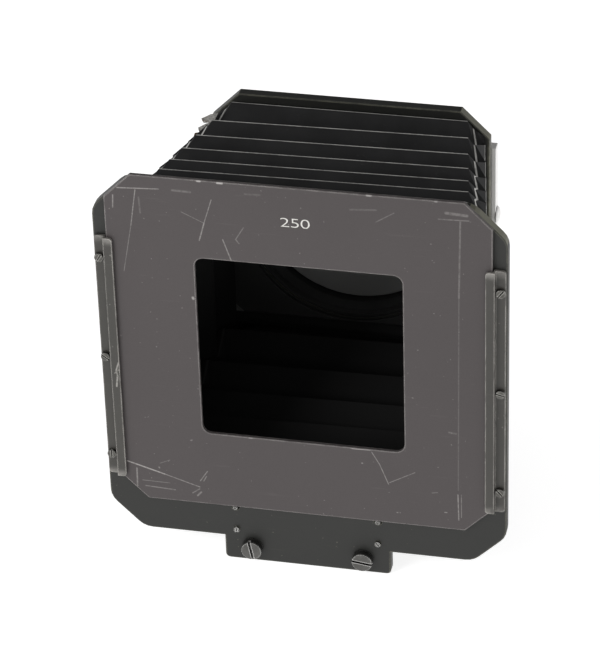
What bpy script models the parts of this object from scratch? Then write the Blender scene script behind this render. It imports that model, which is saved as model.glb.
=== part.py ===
"""Compendium bellows lens hood: front standard with a slide-in mask, tapered bellows, rear standard.

-Y is the front, +X the hood's right side seen from the front, and +Z up. The object stands on z = 0.
The front standard is screwed to two rods, which slide through the rear standard's carriage.
"""

import math

import bmesh
import bpy
from mathutils import Matrix, Vector

MM = 0.001
GAP = 0.2 * MM
WIDE_GAP = 0.3 * MM
AXIS_HEIGHT = 66.3 * MM

# Front standard
FRAME_HALF_WIDTH = 52.5 * MM
FRAME_THICKNESS = 3.0 * MM
FRAME_BOTTOM = 7.1 * MM
FRAME_TOP = 113.2 * MM
FRAME_BOTTOM_CORNER = 8.7 * MM
FRAME_TOP_CORNER = 8.8 * MM
FRAME_EASING = 2.2 * MM
CLAMP_MARGIN = 3.4 * MM
FRAME_WINDOW_HALF = 42.0 * MM
FRAME_WINDOW_CORNER = 6.0 * MM
TAB_HALF_WIDTH = 22.1 * MM
TAB_CORNER = 1.2 * MM

# Mask, which slides up out of the rails
MASK_HALF_WIDTH = 48.87 * MM
MASK_BOTTOM = 17.5 * MM
MASK_TOP = 115.3 * MM
MASK_CORNER = 7.0 * MM
MASK_THICKNESS = 1.0 * MM
MASK_WINDOW_HALF = 26.4 * MM
MASK_WINDOW_RADIUS = 2.4 * MM

# Mask rails: a Z section, screwed to the frame's face and standing over the mask's edge
RAIL_OUTER = 52.2 * MM
RAIL_WEB = 49.15 * MM
RAIL_WEB_SHEET = 0.45 * MM
RAIL_LIP = 47.2 * MM
RAIL_SHEET = 0.7 * MM
RAIL_FRONT = -2.2 * MM
RAIL_BOTTOM = 24.3 * MM
RAIL_TOP = 96.6 * MM
RAIL_CORNER = 0.9 * MM
RAIL_SCREW_X = 50.95 * MM
RAIL_SCREW_HEIGHTS = (30.7 * MM, 60.8 * MM, 90.5 * MM)
RAIL_SLOT_ANGLES = {"left": (92.0, 145.0, 60.0), "right": (132.0, 165.0, 52.0)}

# Leaf springs behind the mask, each in a recess of the frame
SPRING_X = 45.2 * MM
SPRING_WIDTH = 2.2 * MM
SPRING_HALF_LENGTH = 18.0 * MM
SPRING_SHEET = 0.25 * MM
RECESS_DEPTH = 0.9 * MM
STOP_PIN_X = 18.9 * MM
STOP_PIN_RADIUS = 0.7 * MM
STOP_PIN_LENGTH = 2.6 * MM

# Rods and the bracket behind the tab
ROD_X = 14.74 * MM
ROD_HEIGHT = 4.23 * MM
ROD_RADIUS = 2.5 * MM
ROD_END = 96.5 * MM
ROD_STOP_LENGTH = 2.2 * MM
ROD_SLOT_ANGLES = (101.0, -8.0)
BRACKET_HALF_WIDTH = 20.5 * MM
BRACKET_BOTTOM = 0.6 * MM
BRACKET_TOP = 12.0 * MM
BRACKET_DEPTH = 6.0 * MM
SMALL_SCREW_X = 18.78 * MM
SMALL_SCREW_HEIGHT = 9.55 * MM
SMALL_SLOT_ANGLES = (95.0, 130.0)

# Bellows: square with cut corners, its folds wider towards the rear
BELLOWS_FRONT = 4.8 * MM
BELLOWS_REAR = 62.2 * MM
BELLOWS_FRONT_HALF = 45.9 * MM
BELLOWS_REAR_HALF = 36.0 * MM
BELLOWS_FRONT_CORNER = 5.0 * MM
BELLOWS_REAR_CORNER = 4.6 * MM
BELLOWS_SHEET = 0.7 * MM
FOLD_DEPTH = 3.2 * MM
FOLD_COUNT = 7
FOLD_GROWTH = 1.165

# Rear standard
REAR_FRONT = 63.6 * MM
REAR_THICKNESS = 3.0 * MM
REAR_HALF = 37.2 * MM
REAR_CORNER = 7.6 * MM
REAR_OPENING = 29.1 * MM
CLAMP_RING_THICKNESS = 0.8 * MM
COLLAR_REAR = 77.5 * MM
COLLAR_FLANGE = 30.8 * MM
COLLAR_SHELL = 29.5 * MM
FUNNEL_FRONT = 66.0 * MM
FUNNEL_REAR = 68.2 * MM
COLLAR_FRONT_BORE = 28.1 * MM
COLLAR_BORE = 26.9 * MM
ADAPTER_FRONT = 70.4 * MM
ADAPTER_BORE = 19.5 * MM
ADAPTER_STEP = 23.0 * MM
ADAPTER_SHEET = 1.4 * MM
BAR_INNER = 34.3 * MM
BAR_OUTER = 38.3 * MM
BAR_DEPTH = 3.4 * MM
BAR_TOP = 91.4 * MM
BAR_BOTTOM = 41.2 * MM
BAR_SCREW_X = 36.0 * MM
BAR_SCREW_INSET = 6.0 * MM
BLIND_DEPTH = 1.6 * MM
DOME_HEIGHT = 70.5 * MM

# Carriage under the rear standard, clamped on the right rod by a thumbscrew
CARRIAGE_FRONT = 64.0 * MM
CARRIAGE_REAR = 76.0 * MM
CARRIAGE_HALF_WIDTH = 26.5 * MM
CARRIAGE_TOP = 11.0 * MM
BUSH_OUTER = 3.4 * MM
BUSH_BORE = 2.6 * MM
CLAMP_X = 22.6 * MM
CLAMP_SLIT = 0.8 * MM
RISER_HALF_WIDTH = 14.0 * MM
RISER_SHEET = 2.4 * MM
RISER_TOP = 35.0 * MM
RISER_FOOT_REAR = 75.5 * MM
RISER_SCREW_X = 9.0 * MM
RISER_SCREW_HEIGHT = 32.4 * MM
FOOT_SCREW_Y = 72.6 * MM

# Collar thumbscrew, pointing down to the left
COLLAR_SCREW_ANGLE = math.radians(225.0)
COLLAR_SCREW_Y = 74.0 * MM
COLLAR_SCREW_REACH = 30.0 * MM

# Screws: head radius, head height, shank radius, length under the head; then the holes for them
RAIL_SCREW = (1.22 * MM, 0.9 * MM, 0.6 * MM, 3.0 * MM)
ROD_SCREW = (2.75 * MM, 2.0 * MM, 1.5 * MM, 11.0 * MM)
BRACKET_SCREW = (0.8 * MM, 0.55 * MM, 0.45 * MM, 6.0 * MM)
BAR_SCREW = (1.4 * MM, 0.9 * MM, 0.6 * MM, BAR_DEPTH + 1.2 * MM)
RISER_SCREW = (1.9 * MM, 1.2 * MM, 1.0 * MM, RISER_SHEET + 1.2 * MM)
FOOT_SCREW = (1.9 * MM, 1.2 * MM, 1.0 * MM, RISER_SHEET + 4.1 * MM)
SIDE_DOME = (2.3 * MM, 0.9 * MM, 0.85 * MM, 1.6 * MM)
SLOT_WIDTH = 0.24
NARROWEST_SLOT = 0.36 * MM
SLOT_MIDDLE = 1.02
RAIL_HOLE = 0.75 * MM
ROD_SCREW_HOLE = 1.7 * MM
BRACKET_HOLE = 0.6 * MM
RISER_HOLE = 1.2 * MM
PIN_HOLE = 0.9 * MM
DOME_HOLE = 1.0 * MM

# Thumbscrews: head radius, head height, shank radius, shank length
CLAMP_KNOB = (4.6 * MM, 5.0 * MM, 1.5 * MM, CARRIAGE_TOP - 1.2 * MM)
COLLAR_KNOB = (3.2 * MM, 4.0 * MM, 1.2 * MM, 3.0 * MM)

FORWARD = Vector((0.0, -1.0, 0.0))
BACKWARD = Vector((0.0, 1.0, 0.0))
UP = Vector((0.0, 0.0, 1.0))
SIDES = (("left", -1.0), ("right", 1.0))


def clear_scene():
    for obj in list(bpy.data.objects):
        bpy.data.objects.remove(obj, do_unlink=True)


def material(name, colour, roughness, metallic):
    made = bpy.data.materials.new(name)
    made.use_nodes = True
    shader = made.node_tree.nodes["Principled BSDF"]
    shader.inputs["Base Color"].default_value = (*colour, 1.0)
    shader.inputs["Roughness"].default_value = roughness
    shader.inputs["Metallic"].default_value = metallic
    return made


def body(name, origin, parent=None):
    """An empty that carries the pieces of one rigid body, on that body's joint axis."""
    empty = bpy.data.objects.new(name, None)
    empty.empty_display_size = 0.01
    empty.location = origin
    bpy.context.collection.objects.link(empty)
    if parent:
        empty.parent = parent
        empty.matrix_parent_inverse = Matrix.Translation(-parent.location)
    return empty


def add_object(name, bm, parent, origin, surface, smooth_angle=30.0):
    """Turns a bmesh drawn around origin into an object there, carried by parent."""
    bmesh.ops.recalc_face_normals(bm, faces=bm.faces)
    mesh = bpy.data.meshes.new(name)
    bm.to_mesh(mesh)
    bm.free()
    mesh.shade_smooth()
    mesh.set_sharp_from_angle(angle=math.radians(smooth_angle))
    if surface:
        mesh.materials.append(surface)
    obj = bpy.data.objects.new(name, mesh)
    bpy.context.collection.objects.link(obj)
    obj.parent = parent
    obj.location = Vector(origin) - parent.location
    return obj


def bevel_edges(obj, width, segments=2):
    bevel = obj.modifiers.new("edge_break", "BEVEL")
    bevel.width = width
    bevel.segments = segments
    bevel.limit_method = "ANGLE"
    bevel.angle_limit = math.radians(40.0)


def cut(obj, cutter):
    cutter.hide_render = True
    cutter.display_type = "WIRE"
    boolean = obj.modifiers.new("cut_" + cutter.name, "BOOLEAN")
    boolean.operation = "DIFFERENCE"
    boolean.solver = "EXACT"
    boolean.object = cutter


def arc(centre, radius, start, end, steps):
    """Points (x, z) along an arc, angles in degrees."""
    points = []
    for step in range(steps + 1):
        angle = math.radians(start + (end - start) * step / steps)
        points.append((centre[0] + radius * math.cos(angle), centre[1] + radius * math.sin(angle)))
    return points


def circle(centre, radius, steps):
    return arc(centre, radius, 0.0, 360.0, steps)[:-1]


def octagon(half_width, low, high, low_corner, high_corner):
    """A rectangle with cut corners, counter-clockwise from the lower left."""
    return [
        (-half_width + low_corner, low),
        (half_width - low_corner, low),
        (half_width, low + low_corner),
        (half_width, high - high_corner),
        (half_width - high_corner, high),
        (-half_width + high_corner, high),
        (-half_width, high - high_corner),
        (-half_width, low + low_corner),
    ]


def square_outline(half, corner):
    return octagon(half, AXIS_HEIGHT - half, AXIS_HEIGHT + half, corner, corner)


def eased(points, reach):
    """An outline with each corner replaced by a short curve that starts reach away from it."""
    curved = []
    for before, here, after in zip(points[-1:] + points[:-1], points, points[1:] + points[:1]):
        corner = Vector(here)
        start = corner + (Vector(before) - corner).normalized() * reach
        end = corner + (Vector(after) - corner).normalized() * reach
        for t in (0.0, 0.33, 0.67, 1.0):
            point = start.lerp(corner, t).lerp(corner.lerp(end, t), t)
            curved.append((point.x, point.y))
    return curved


def rounded_square(half, radius, centre_height, steps=5):
    points = []
    for turn, (side_x, side_z) in enumerate(((1, 1), (-1, 1), (-1, -1), (1, -1))):
        centre = (side_x * (half - radius), centre_height + side_z * (half - radius))
        points += arc(centre, radius, 90.0 * turn, 90.0 * turn + 90.0, steps)
    return points


def offset_outline(points, distance):
    """Moves every side of an outline inwards by distance, or outwards where it is negative."""
    area = sum(a[0] * b[1] - b[0] * a[1] for a, b in zip(points, points[1:] + points[:1]))
    moved = []
    for before, here, after in zip(points[-1:] + points[:-1], points, points[1:] + points[:1]):
        first = (Vector(here) - Vector(before)).normalized()
        second = (Vector(after) - Vector(here)).normalized()
        inward = Vector((-first.y - second.y, first.x + second.x)).normalized()
        reach = distance / max(inward.dot(Vector((-first.y, first.x))), 0.2)
        moved.append(Vector(here) + inward * math.copysign(reach, area * distance))
    return [(point.x, point.y) for point in moved]


def plate_mesh(outline, holes, front, back, edge):
    """A plate facing -Y with broken edges, its holes running right through."""
    bm = bmesh.new()
    front_edges = []
    back_edges = []
    for points, inward in [(outline, 1.0)] + [(hole, -1.0) for hole in holes]:
        narrow = offset_outline(points, inward * edge)
        rows = []
        for loop, y in ((narrow, front), (points, front + edge), (points, back - edge), (narrow, back)):
            rows.append([bm.verts.new((x, y, z)) for x, z in loop])
        for near, far in zip(rows, rows[1:]):
            for i in range(len(near)):
                bm.faces.new((near[i - 1], near[i], far[i], far[i - 1]))
        for row, kept in ((rows[0], front_edges), (rows[-1], back_edges)):
            kept += [bm.edges.get((row[i - 1], row[i])) for i in range(len(row))]
    bmesh.ops.triangle_fill(bm, use_beauty=True, edges=front_edges, normal=FORWARD)
    bmesh.ops.triangle_fill(bm, use_beauty=True, edges=back_edges, normal=BACKWARD)
    return bm


def plate(name, outline, holes, front, back, edge, parent, surface):
    bm = plate_mesh(outline, holes, front, back, edge)
    bmesh.ops.translate(bm, verts=bm.verts, vec=-parent.location)
    return add_object(name, bm, parent, parent.location, surface)


def turned(name, profile, segments, parent, origin, axis, surface, closed=False):
    """A solid of revolution. The profile is (radius, height) along axis, from top to bottom."""
    bm = bmesh.new()
    rows = []
    for radius, height in profile:
        if radius == 0.0:
            rows.append([bm.verts.new((0.0, 0.0, height))] * segments)
            continue
        ring = circle((0.0, 0.0), radius, segments)
        rows.append([bm.verts.new((x, y, height)) for x, y in ring])
    for near, far in zip(rows, rows[1:] + rows[:1] if closed else rows[1:]):
        for i in range(segments):
            corners = (near[i - 1], near[i], far[i], far[i - 1])
            bm.faces.new(list(dict.fromkeys(corners)))
    turn = UP.rotation_difference(Vector(axis)).to_matrix()
    bmesh.ops.rotate(bm, verts=bm.verts, cent=(0.0, 0.0, 0.0), matrix=turn)
    return add_object(name, bm, parent, origin, surface)


def block(name, low, high, parent, surface=None):
    bm = bmesh.new()
    low = Vector(low)
    high = Vector(high)
    bmesh.ops.create_cube(bm, size=1.0)
    bmesh.ops.scale(bm, verts=bm.verts, vec=high - low)
    return add_object(name, bm, parent, (low + high) / 2.0, surface)


def drill(obj, name, centre, radius, length, axis, segments=16):
    """Cuts a round hole of length from centre along axis."""
    profile = [(0.0, length), (radius, length), (radius, 0.0), (0.0, 0.0)]
    cutter = turned(name, profile, segments, obj.parent, centre, axis, None)
    cut(obj, cutter)


def slotted_screw(name, size, seat, axis, slot_angle, parent, surface):
    """A cheese-head screw. Its head stands on seat along axis, and its shank goes the other way."""
    head, height, shank, length = size
    edge = 0.14 * height
    profile = [
        (0.0, height),
        (head - 1.6 * edge, height),
        (head - 0.5 * edge, height - 0.4 * edge),
        (head, height - 1.5 * edge),
        (head, 0.3 * edge),
        (head - 0.3 * edge, 0.0),
        (shank, 0.0),
        (shank, -length + 0.5 * shank),
        (0.5 * shank, -length),
        (0.0, -length),
    ]
    segments = 24 if head > 2.5 * MM else 16
    screw = turned(name, profile, segments, parent, seat, axis, surface)
    bm = bmesh.new()
    bmesh.ops.create_cube(bm, size=1.0)
    slot_width = max(SLOT_WIDTH * head, NARROWEST_SLOT)
    slot_size = Vector((3.0 * head, slot_width, height))
    bmesh.ops.scale(bm, verts=bm.verts, vec=slot_size)
    spin = Matrix.Rotation(math.radians(slot_angle), 3, "Z")
    bmesh.ops.rotate(bm, verts=bm.verts, cent=(0.0, 0.0, 0.0), matrix=spin)
    turn = UP.rotation_difference(Vector(axis)).to_matrix()
    bmesh.ops.rotate(bm, verts=bm.verts, cent=(0.0, 0.0, 0.0), matrix=turn)
    middle = Vector(seat) + Vector(axis) * SLOT_MIDDLE * height
    cut(screw, add_object(name + "_slot", bm, parent, middle, None))
    return screw


def domed_screw(name, size, seat, axis, parent, surface):
    head, height, shank, length = size
    dome = [(head * math.sin(0.3 * i), height * math.cos(0.3 * i)) for i in range(6)]
    profile = dome + [(head, 0.0), (shank, 0.0), (shank, -length), (0.0, -length)]
    return turned(name, profile, 24, parent, seat, axis, surface)


def knurled_knob(name, size, ribs, seat, axis, parent, surface):
    """A thumbscrew in one piece: a ribbed head on seat, and a shank going the other way."""
    radius, height, shank, length = size
    edge = 0.1 * height
    groove = 0.94
    outline = []
    for rib in range(ribs):
        for share, scale in ((0.0, 1.0), (0.5, groove)):
            angle = 2.0 * math.pi * (rib + share) / ribs
            outline.append((scale * math.cos(angle), scale * math.sin(angle)))
    bm = bmesh.new()
    rows = []
    levels = (
        (0.86 * radius, 0.0),
        (radius, edge),
        (radius, height - edge),
        (0.86 * radius, height),
    )
    for reach, level in levels:
        rows.append([bm.verts.new((reach * x, reach * y, level)) for x, y in outline])
    for near, far in zip(rows, rows[1:]):
        for i in range(len(outline)):
            bm.faces.new((near[i - 1], near[i], far[i], far[i - 1]))
    bm.faces.new(rows[-1])
    neck = [bm.verts.new((shank * x, shank * y, 0.0)) for x, y in circle((0.0, 0.0), 1.0, len(outline))]
    tip = [bm.verts.new((v.co.x, v.co.y, -length)) for v in neck]
    for near, far in ((rows[0], neck), (neck, tip)):
        for i in range(len(outline)):
            bm.faces.new((near[i - 1], near[i], far[i], far[i - 1]))
    bm.faces.new(tip)
    turn = UP.rotation_difference(Vector(axis)).to_matrix()
    bmesh.ops.rotate(bm, verts=bm.verts, cent=(0.0, 0.0, 0.0), matrix=turn)
    return add_object(name, bm, parent, seat, surface)


def front_frame(front, surface):
    """The front plate: cut corners, a tab at its foot for the rods, and a large window."""
    corners = octagon(FRAME_HALF_WIDTH, FRAME_BOTTOM, FRAME_TOP, FRAME_BOTTOM_CORNER, FRAME_TOP_CORNER)
    high = eased(corners, FRAME_EASING)
    tab = (
        [(-TAB_HALF_WIDTH, FRAME_BOTTOM)]
        + arc((-TAB_HALF_WIDTH + TAB_CORNER, TAB_CORNER), TAB_CORNER, 180.0, 270.0, 4)
        + arc((TAB_HALF_WIDTH - TAB_CORNER, TAB_CORNER), TAB_CORNER, 270.0, 360.0, 4)
        + [(TAB_HALF_WIDTH, FRAME_BOTTOM)]
    )
    outline = high[:4] + tab + high[4:]
    window = square_outline(FRAME_WINDOW_HALF, FRAME_WINDOW_CORNER)
    holes = [window]
    for _, side in SIDES:
        holes.append(circle((side * ROD_X, ROD_HEIGHT), ROD_SCREW_HOLE, 16))
        holes.append(circle((side * SMALL_SCREW_X, SMALL_SCREW_HEIGHT), BRACKET_HOLE, 12))
        holes.append(circle((side * STOP_PIN_X, stop_pin_height()), PIN_HOLE, 12))
        holes += [circle((side * RAIL_SCREW_X, height), RAIL_HOLE, 12) for height in RAIL_SCREW_HEIGHTS]
    frame = plate("front_frame", outline, holes, 0.0, FRAME_THICKNESS, 0.25 * MM, front, surface)
    for name, side in SIDES:
        reach = SPRING_WIDTH / 2.0 + WIDE_GAP
        half = SPRING_HALF_LENGTH + WIDE_GAP
        x = side * SPRING_X
        low = (x - reach, -RECESS_DEPTH, AXIS_HEIGHT - half)
        high = (x + reach, RECESS_DEPTH, AXIS_HEIGHT + half)
        cut(frame, block("spring_recess_" + name, low, high, front))


def stop_pin_height():
    return MASK_BOTTOM - STOP_PIN_RADIUS - GAP


def mask_rail(name, side, front, surface):
    """A Z-section strip: a flange on the frame, a web, and a lip over the mask's edge."""
    section = [
        (RAIL_OUTER, -GAP),
        (RAIL_WEB, -GAP),
        (RAIL_WEB, RAIL_FRONT + RAIL_SHEET),
        (RAIL_LIP, RAIL_FRONT + RAIL_SHEET),
        (RAIL_LIP, RAIL_FRONT),
        (RAIL_WEB + RAIL_WEB_SHEET, RAIL_FRONT),
        (RAIL_WEB + RAIL_WEB_SHEET, -GAP - RAIL_SHEET),
        (RAIL_OUTER, -GAP - RAIL_SHEET),
    ]
    bm = bmesh.new()
    start = bm.faces.new([bm.verts.new((side * x, y, RAIL_BOTTOM)) for x, y in section])
    grown = bmesh.ops.extrude_face_region(bm, geom=[start])
    raised = [item for item in grown["geom"] if isinstance(item, bmesh.types.BMVert)]
    bmesh.ops.translate(bm, verts=raised, vec=(0.0, 0.0, RAIL_TOP - RAIL_BOTTOM))
    corners = []
    for edge in bm.edges:
        along = edge.verts[1].co - edge.verts[0].co
        outermost = min(abs(abs(edge.verts[0].co.x) - x) for x in (RAIL_OUTER, RAIL_LIP)) < GAP
        if abs(along.y) > 0.9 * along.length and outermost:
            corners.append(edge)
    bmesh.ops.bevel(bm, geom=corners, offset=RAIL_CORNER, segments=4, affect="EDGES", profile=0.5)
    half_length = (RAIL_TOP - RAIL_BOTTOM) / 2.0
    long_edges = [edge for edge in bm.edges if edge.calc_length() > half_length]
    bmesh.ops.bevel(bm, geom=long_edges, offset=0.12 * MM, segments=2, affect="EDGES", profile=0.5)
    bmesh.ops.translate(bm, verts=bm.verts, vec=-front.location)
    rail = add_object("mask_rail_" + name, bm, front, front.location, surface)
    for i, height in enumerate(RAIL_SCREW_HEIGHTS):
        centre = (side * RAIL_SCREW_X, 1.0 * MM, height)
        drill(rail, f"rail_hole_{name}_{i + 1}", centre, RAIL_HOLE, 3.0 * MM, FORWARD, 12)


def rail_screws(front, surface):
    seat = -2.0 * GAP - RAIL_SHEET + 0.1 * MM
    for name, side in SIDES:
        for i, height in enumerate(RAIL_SCREW_HEIGHTS):
            place = (side * RAIL_SCREW_X, seat, height)
            angle = RAIL_SLOT_ANGLES[name][i]
            screw = f"rail_screw_{name}_{i + 1}"
            slotted_screw(screw, RAIL_SCREW, place, FORWARD, angle, front, surface)


def leaf_spring(name, side, front, surface):
    """A bowed strip that bears on the back of the mask."""
    steps = 12
    bow = RECESS_DEPTH - SPRING_SHEET - GAP / 2.0
    near_points = []
    far_points = []
    for step in range(steps + 1):
        share = 2.0 * step / steps - 1.0
        rise = bow * share * share
        z = AXIS_HEIGHT + share * SPRING_HALF_LENGTH
        near_points.append((rise, z))
        far_points.append((rise + SPRING_SHEET, z))
    bm = bmesh.new()
    x = side * SPRING_X - SPRING_WIDTH / 2.0
    outline = near_points + far_points[::-1]
    face = bm.faces.new([bm.verts.new((x, y, z)) for y, z in outline])
    grown = bmesh.ops.extrude_face_region(bm, geom=[face])
    moved = [item for item in grown["geom"] if isinstance(item, bmesh.types.BMVert)]
    bmesh.ops.translate(bm, verts=moved, vec=(SPRING_WIDTH, 0.0, 0.0))
    bmesh.ops.translate(bm, verts=bm.verts, vec=-front.location)
    add_object("mask_spring_" + name, bm, front, front.location, surface)


def stop_pin(name, side, front, surface):
    profile = [
        (0.0, STOP_PIN_LENGTH),
        (STOP_PIN_RADIUS - 0.2 * MM, STOP_PIN_LENGTH),
        (STOP_PIN_RADIUS, STOP_PIN_LENGTH - 0.2 * MM),
        (STOP_PIN_RADIUS, 0.0),
        (0.0, 0.0),
    ]
    foot = (side * STOP_PIN_X, 1.8 * MM, stop_pin_height())
    turned("mask_stop_pin_" + name, profile, 16, front, foot, FORWARD, surface)


def front_clamp_ring(front, surface):
    outline = square_outline(FRAME_WINDOW_HALF + CLAMP_MARGIN, FRAME_WINDOW_CORNER + 1.0 * MM)
    window = square_outline(FRAME_WINDOW_HALF - 1.0 * MM, FRAME_WINDOW_CORNER)
    near = FRAME_THICKNESS + WIDE_GAP
    plate("front_clamp_ring", outline, [window], near, near + 1.2 * MM, 0.15 * MM, front, surface)


def rod_bracket(front, surface):
    """The block behind the tab that holds both rods' front ends."""
    near = FRAME_THICKNESS + WIDE_GAP
    outline = [
        (-BRACKET_HALF_WIDTH, BRACKET_BOTTOM),
        (BRACKET_HALF_WIDTH, BRACKET_BOTTOM),
        (BRACKET_HALF_WIDTH, BRACKET_TOP),
        (-BRACKET_HALF_WIDTH, BRACKET_TOP),
    ]
    holes = []
    for _, side in SIDES:
        holes.append(circle((side * ROD_X, ROD_HEIGHT), ROD_RADIUS + GAP, 24))
        holes.append(circle((side * SMALL_SCREW_X, SMALL_SCREW_HEIGHT), BRACKET_HOLE, 12))
    plate("rod_bracket", outline, holes, near, near + BRACKET_DEPTH, 0.3 * MM, front, surface)


def guide_rod(name, side, front, surface):
    """A rod with a blind hole in its front end for the screw through the tab."""
    near = FRAME_THICKNESS + WIDE_GAP
    length = ROD_END - near
    edge = 0.4 * MM
    hole = 1.8 * MM
    profile = [
        (0.0, length - 9.0 * MM),
        (hole, length - 9.0 * MM),
        (hole, length),
        (ROD_RADIUS - edge, length),
        (ROD_RADIUS, length - edge),
        (ROD_RADIUS, edge),
        (ROD_RADIUS - edge, 0.0),
        (0.0, 0.0),
    ]
    end = (side * ROD_X, ROD_END, ROD_HEIGHT)
    turned("guide_rod_" + name, profile, 24, front, end, FORWARD, surface)


def rod_fastenings(front, steel, dark):
    """The screws in the tab's face, and the stops on the rods' rear ends."""
    for (name, side), slot_angle, small_angle in zip(SIDES, ROD_SLOT_ANGLES, SMALL_SLOT_ANGLES):
        seat = (side * ROD_X, -GAP, ROD_HEIGHT)
        rod_screw = "rod_screw_" + name
        slotted_screw(rod_screw, ROD_SCREW, seat, FORWARD, slot_angle, front, steel)
        seat = (side * SMALL_SCREW_X, -0.5 * GAP, SMALL_SCREW_HEIGHT)
        small = "bracket_screw_" + name
        slotted_screw(small, BRACKET_SCREW, seat, FORWARD, small_angle, front, steel)
        stop_start = (side * ROD_X, ROD_END + WIDE_GAP, ROD_HEIGHT)
        stop_profile = [
            (0.0, ROD_STOP_LENGTH),
            (2.9 * MM, ROD_STOP_LENGTH),
            (3.5 * MM, ROD_STOP_LENGTH - 0.6 * MM),
            (3.5 * MM, 0.3 * MM),
            (3.2 * MM, 0.0),
            (0.0, 0.0),
        ]
        turned("rod_stop_" + name, stop_profile, 24, front, stop_start, BACKWARD, dark)


def mask_plate(mask, surface):
    outline = octagon(MASK_HALF_WIDTH, MASK_BOTTOM, MASK_TOP, MASK_CORNER, MASK_CORNER)
    window = rounded_square(MASK_WINDOW_HALF, MASK_WINDOW_RADIUS, AXIS_HEIGHT)
    near = -GAP - MASK_THICKNESS
    plate("mask_plate", outline, [window], near, -GAP, 0.12 * MM, mask, surface)


def bellows_levels():
    """(depth, half width) along the folds: ridge and valley by turns between plain ends."""
    pitches = [FOLD_GROWTH**i for i in range(FOLD_COUNT)]
    scale = (BELLOWS_REAR - BELLOWS_FRONT) / sum(pitches)
    taper = (BELLOWS_REAR_HALF - BELLOWS_FRONT_HALF) / (BELLOWS_REAR - BELLOWS_FRONT)
    levels = []
    depth = BELLOWS_FRONT
    for pitch in pitches:
        half = BELLOWS_FRONT_HALF + taper * (depth - BELLOWS_FRONT)
        levels.append((depth, half - FOLD_DEPTH))
        middle = depth + 0.5 * pitch * scale
        levels.append((middle, half + 0.5 * taper * pitch * scale))
        depth += pitch * scale
    levels.append((BELLOWS_REAR, BELLOWS_REAR_HALF - FOLD_DEPTH))
    return levels


def bellows(rear, surface):
    """One folded skin, open at both ends."""
    levels = bellows_levels()
    skins = list(levels)
    skins += [(depth, half - BELLOWS_SHEET) for depth, half in reversed(levels)]
    bm = bmesh.new()
    rows = []
    for depth, half in skins:
        share = (depth - BELLOWS_FRONT) / (BELLOWS_REAR - BELLOWS_FRONT)
        corner = BELLOWS_FRONT_CORNER + (BELLOWS_REAR_CORNER - BELLOWS_FRONT_CORNER) * share
        ring = square_outline(half, corner)
        rows.append([bm.verts.new((x, depth, z)) for x, z in ring])
    for near, far in zip(rows, rows[1:] + rows[:1]):
        for i in range(len(near)):
            bm.faces.new((near[i - 1], near[i], far[i], far[i - 1]))
    bmesh.ops.translate(bm, verts=bm.verts, vec=-rear.location)
    add_object("bellows", bm, rear, rear.location, surface, smooth_angle=5.0)


def rear_frame(rear, surface):
    outline = square_outline(REAR_HALF, REAR_CORNER)
    opening = circle((0.0, AXIS_HEIGHT), REAR_OPENING, 64)
    back = REAR_FRONT + REAR_THICKNESS
    frame = plate("rear_frame", outline, [opening], REAR_FRONT, back, 0.2 * MM, rear, surface)
    for name, side in SIDES:
        for i, height in enumerate(bar_screw_heights()):
            centre = (side * BAR_SCREW_X, back - BLIND_DEPTH, height)
            drill(frame, f"bar_hole_{name}_{i + 1}", centre, RAIL_HOLE, 2.0 * BLIND_DEPTH, BACKWARD, 12)
        centre = (side * RISER_SCREW_X, back - BLIND_DEPTH, RISER_SCREW_HEIGHT)
        drill(frame, "riser_hole_" + name, centre, RISER_HOLE, 2.0 * BLIND_DEPTH, BACKWARD, 12)


def bar_screw_heights():
    return BAR_BOTTOM + BAR_SCREW_INSET, BAR_TOP - BAR_SCREW_INSET


def rear_clamp_ring(rear, surface):
    outline = square_outline(REAR_HALF - 4.2 * MM, REAR_CORNER - 2.0 * MM)
    opening = circle((0.0, AXIS_HEIGHT), REAR_OPENING + 0.6 * MM, 48)
    back = REAR_FRONT - WIDE_GAP
    near = back - CLAMP_RING_THICKNESS
    plate("rear_clamp_ring", outline, [opening], near, back, 0.15 * MM, rear, surface)


def lens_collar(rear, surface):
    """The tube behind the opening: a spigot in the rear frame, a flange, and a bore for the lens."""
    spigot = REAR_OPENING - GAP
    shell = COLLAR_SHELL
    flange = COLLAR_FLANGE
    front = REAR_FRONT + GAP
    seat = REAR_FRONT + REAR_THICKNESS + WIDE_GAP
    profile = [
        (COLLAR_FRONT_BORE, front),
        (COLLAR_FRONT_BORE, FUNNEL_FRONT),
        (COLLAR_BORE, FUNNEL_REAR),
        (COLLAR_BORE, COLLAR_REAR - 0.5 * MM),
        (COLLAR_BORE + 0.5 * MM, COLLAR_REAR),
        (shell - 0.4 * MM, COLLAR_REAR),
        (shell, COLLAR_REAR - 0.4 * MM),
        (shell, seat + 2.0 * MM),
        (flange - 0.3 * MM, seat + 2.0 * MM),
        (flange, seat + 1.7 * MM),
        (flange, seat),
        (spigot, seat),
        (spigot, front),
    ]
    origin = (0.0, 0.0, AXIS_HEIGHT)
    collar = turned("lens_collar", profile, 56, rear, origin, BACKWARD, surface, closed=True)
    outward = Vector((math.cos(COLLAR_SCREW_ANGLE), 0.0, math.sin(COLLAR_SCREW_ANGLE)))
    start = Vector((0.0, COLLAR_SCREW_Y, AXIS_HEIGHT)) + outward * 25.0 * MM
    drill(collar, "collar_screw_hole", start, 1.5 * MM, 10.0 * MM, outward)


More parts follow.
